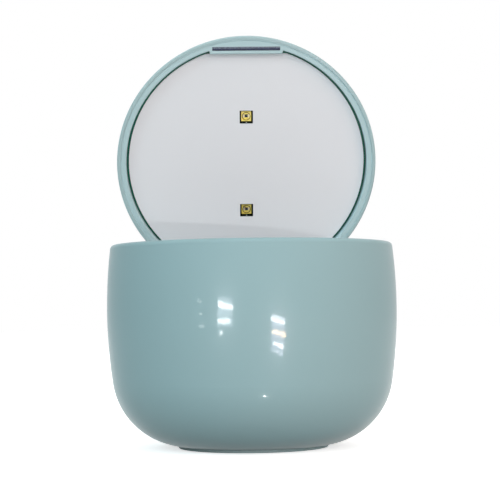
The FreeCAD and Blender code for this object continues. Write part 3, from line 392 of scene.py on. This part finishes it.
# Cell foil: a dull silver pouch with soft dents.
cell_foil = surface("cell_foil", ("#9EA1A5", "#B4B7BA"), patch=5, polish=(0.25, 0.4), grain=0.8, relief=0.02,
                    metallic=1.0)
dress(cell_foil, "battery")
# Red lead jacket: extruded plastic with a low sheen.
lead_jacket = surface("lead_jacket_red", ("#8E1414", "#A81E1C"), patch=2, polish=(0.4, 0.5), grain=0.3,
                      relief=0.006)
dress(lead_jacket, "battery_lead", "lamp_lead")


# Cover, light ring and button: the glossy ABS dome, a frosted ring glued under its crown and a cap in it.
# Cover and cap come from polished moulds, as the pot does, and the ring spreads the status light.
# Polished ABS: the pot's gloss with softer highlights, in a paler mint that is painted light, as the frame's
# is.
gloss_cover = surface("gloss_abs_cover", ("#A9C4C8", "#ABC6CA"), patch=40, polish=(0.28, 0.29), grain=30,
                      relief=0.0, ior=1.45, specular_ior_level=0.1, coat_weight=0.08, coat_roughness=0.05,
                      coat_ior=1.5)
dress(gloss_cover, "lid_cover", "power_button")
cad["lid_cover"].cycles.shadow_terminator_offset = SOFT_SHADE
# Frosted acrylic: milky white that lets a little light through.
frosted = surface("frosted_acrylic", ("#E3E8E6", "#F0F3F1"), patch=3, polish=(0.45, 0.55), grain=0.2,
                  relief=0.004, ior=1.49, transmission_weight=0.35)
dress(frosted, "light_ring")


# Floor and surround: a wide sheet of pale paper that the part stands on, in a white room.
# Both look white, and give the part only as much light as keeps its colours true.
floor_reach = 4.0        # metres from the middle to each edge
floor_glow = 0.65        # lifts the paper to white, and leaves the part's shadow on it
room_light = 0.4         # the light that the room gives the part
room_white = 1.0         # and how bright it looks


def direct(tree):
    """One where the eye, a reflection or glass looks, and zero for the light that bounces about."""
    path = add(tree, "ShaderNodeLightPath").outputs
    seen = add(tree, "ShaderNodeMath", {0: path["Is Camera Ray"], 1: path["Is Glossy Ray"]},
               operation="MAXIMUM")
    return add(tree, "ShaderNodeMath", {0: seen.outputs[0], 1: path["Is Transmission Ray"]},
               operation="MAXIMUM").outputs[0]


floor_mesh = bpy.data.meshes.new("floor")
corners = [(x * floor_reach, y * floor_reach, 0) for x, y in ((-1, -1), (1, -1), (1, 1), (-1, 1))]
floor_mesh.from_pydata(corners, [], [(0, 1, 2, 3)])
floor = bpy.data.objects.new("floor", floor_mesh)
scene.collection.objects.link(floor)
# Uncoated paper: flat white without any shine.
paper = bpy.data.materials.new("paper_floor")
paper.use_nodes = True
tree = paper.node_tree
shader = tree.nodes["Principled BSDF"]
shader.inputs["Roughness"].default_value = 0.95
shader.inputs["Specular IOR Level"].default_value = 0.0
shader.inputs["Emission Color"].default_value = (1, 1, 1, 1)
tone = add(tree, "ShaderNodeMix", {SHARE: direct(tree), FIRST: linear("#B4B4B2"), SECOND: linear("#FBFBFB")},
           data_type="RGBA")
glow = add(tree, "ShaderNodeMath", {0: direct(tree), 1: floor_glow}, operation="MULTIPLY")
tree.links.new(tone.outputs[BLEND], shader.inputs["Base Color"])
tree.links.new(glow.outputs[0], shader.inputs["Emission Strength"])
floor_mesh.materials.append(paper)

world = bpy.data.worlds.new("white_surround")
scene.world = world
world.use_nodes = True
tree = world.node_tree
surround = tree.nodes["Background"]
surround.inputs["Color"].default_value = (1, 1, 1, 1)
level = add(tree, "ShaderNodeMapRange", {"Value": direct(tree), "To Min": room_light, "To Max": room_white})
tree.links.new(level.outputs[0], surround.inputs["Strength"])


# Lamps: broad soft boxes in front, above and behind, a warm key on the right and a cool fill on the left.
# A low narrow one throws the rim's shadow on the reflector. Panes and bars close in front stand for the
# lit windows that the pot mirrors, and a small spark near the floor for a far lamp.
part_middle = (0, 0, 80 * MM)
bar_y = -200 * MM            # the windows' bars hang this far in front
pane_y = -204 * MM           # and the panes just behind them
pane_height = 20             # millimetres; anything taller is a pane
wall_y = -50 * MM            # the pot's front wall, which all of them face
spark = 2.6 * MM             # side of the small square lamp
spark_place = (6.3 * MM, -74.7 * MM, 4 * MM)
spark_aim = (2.4 * MM, -48.7 * MM, 20.3 * MM)
spark_glare = 200


def lamp(name, place, aim, size, power, colour, tilt=0.0):
    """A rectangular soft lamp that lights and reflects, but isn't itself in the picture."""
    data = bpy.data.lights.new(name, "AREA")
    data.shape = "RECTANGLE"
    data.size, data.size_y = size
    data.energy = power
    data.color = linear(colour)[:3]
    lit = bpy.data.objects.new(name, data)
    scene.collection.objects.link(lit)
    way = Vector(aim) - Vector(place)
    lit.matrix_world = (Matrix.Translation(place) @ way.to_track_quat("-Z", "Y").to_matrix().to_4x4()
                        @ Matrix.Rotation(radians(tilt), 4, "Z"))
    lit.visible_camera = False
    return lit


for name, place, aim, size, power, colour in (
        ("front", (0.15, -1.5, 0.5), part_middle, (1.4, 0.7), 6.2, "#FFFFFF"),
        ("overhead", (0.0, -0.4, 1.5), part_middle, (1.2, 1.0), 6, "#FFFFFF"),
        ("key_right", (1.1, -1.0, 0.7), part_middle, (0.7, 0.7), 6.6, "#FFDACA"),
        ("fill_left", (-1.1, -0.9, 0.8), part_middle, (0.7, 0.7), 6.4, "#D2F5FC"),
        ("rear", (0.2, 1.4, 0.7), part_middle, (1.2, 0.8), 4, "#FFFFFF"),
        ("window_low", (0.21, -0.45, 0.026), (0, 0.03, 0.085), (0.06, 0.004), 0.3, "#FFFFFF")):
    lamp(name, place, aim, size, power, colour).visible_glossy = False

for name, x, z, width, height, tilt, glare, colour in (
        ("pane_left", -72.5, 45.6, 38.0, 28.9, -3, 34, "#EAF2FF"),
        ("pane_left_upper", -68.7, 52.2, 39.0, 5.6, -6, 150, "#FFFFFF"),
        ("pane_left_lower", -74.5, 36.1, 32.5, 4.8, -1, 145, "#FFFFFF"),
        ("lamp_left", -84.2, 23.9, 7.5, 4.0, 0, 185, "#FFFFFF"),
        ("pane_right", 57.3, 21.8, 31.2, 38.3, -8, 36, "#E8E2FF"),
        ("pane_right_top", 57.2, 40.0, 33.0, 2.7, -10, 60, "#FFFFFF"),
        ("pane_right_upper", 57.1, 35.6, 35.0, 3.6, -8, 160, "#FFFFFF"),
        ("pane_right_amber", 58.8, 23.9, 33.0, 4.4, -7, 160, "#FFCE96"),
        ("pane_right_lower", 58.4, 12.0, 29.0, 3.4, -7, 150, "#FFFFFF"),
        ("pane_right_foot", 57.3, 5.0, 22.5, 2.1, -6, 48, "#FFFFFF"),
        ("far_left_upper", -158.3, 58.7, 13.0, 3.4, 0, 30, "#FFFFFF"),
        ("far_left_middle", -151.9, 44.1, 14.0, 3.8, 0, 32, "#FFFFFF"),
        ("far_left_lower", -149.4, 29.3, 15.0, 4.0, 0, 32, "#FFFFFF")):
    size = (width * MM, height * MM)
    place = (x * MM, pane_y if height > pane_height else bar_y, z * MM)
    power = glare * pi * size[0] * size[1]
    lamp(name, place, (0, wall_y, z * MM), size, power, colour, tilt).visible_diffuse = False
lamp("floor_spark", spark_place, spark_aim, (spark, spark), spark_glare * pi * spark**2,
     "#FFFFFF").visible_diffuse = False


# Camera: a long lens half a metre in front, at two thirds of the pot's height and a little to the left.
# It is tipped up by two degrees and rolled by less than one.
camera_place = (-15.566 * MM, -557.332 * MM, 47.109 * MM)
pan, pitch, roll = radians(-1.5593), radians(92.3122), radians(-0.7242)
lens = bpy.data.cameras.new("camera")
lens.sensor_width = 36
lens.lens = 113.05
lens.clip_start = 0.01
camera = bpy.data.objects.new("camera", lens)
scene.collection.objects.link(camera)
camera.matrix_world = (Matrix.Translation(camera_place) @ Matrix.Rotation(pan, 4, "Z")
                       @ Matrix.Rotation(pitch, 4, "X") @ Matrix.Rotation(roll, 4, "Z"))
scene.camera = camera
scene.view_settings.view_transform = "Standard"
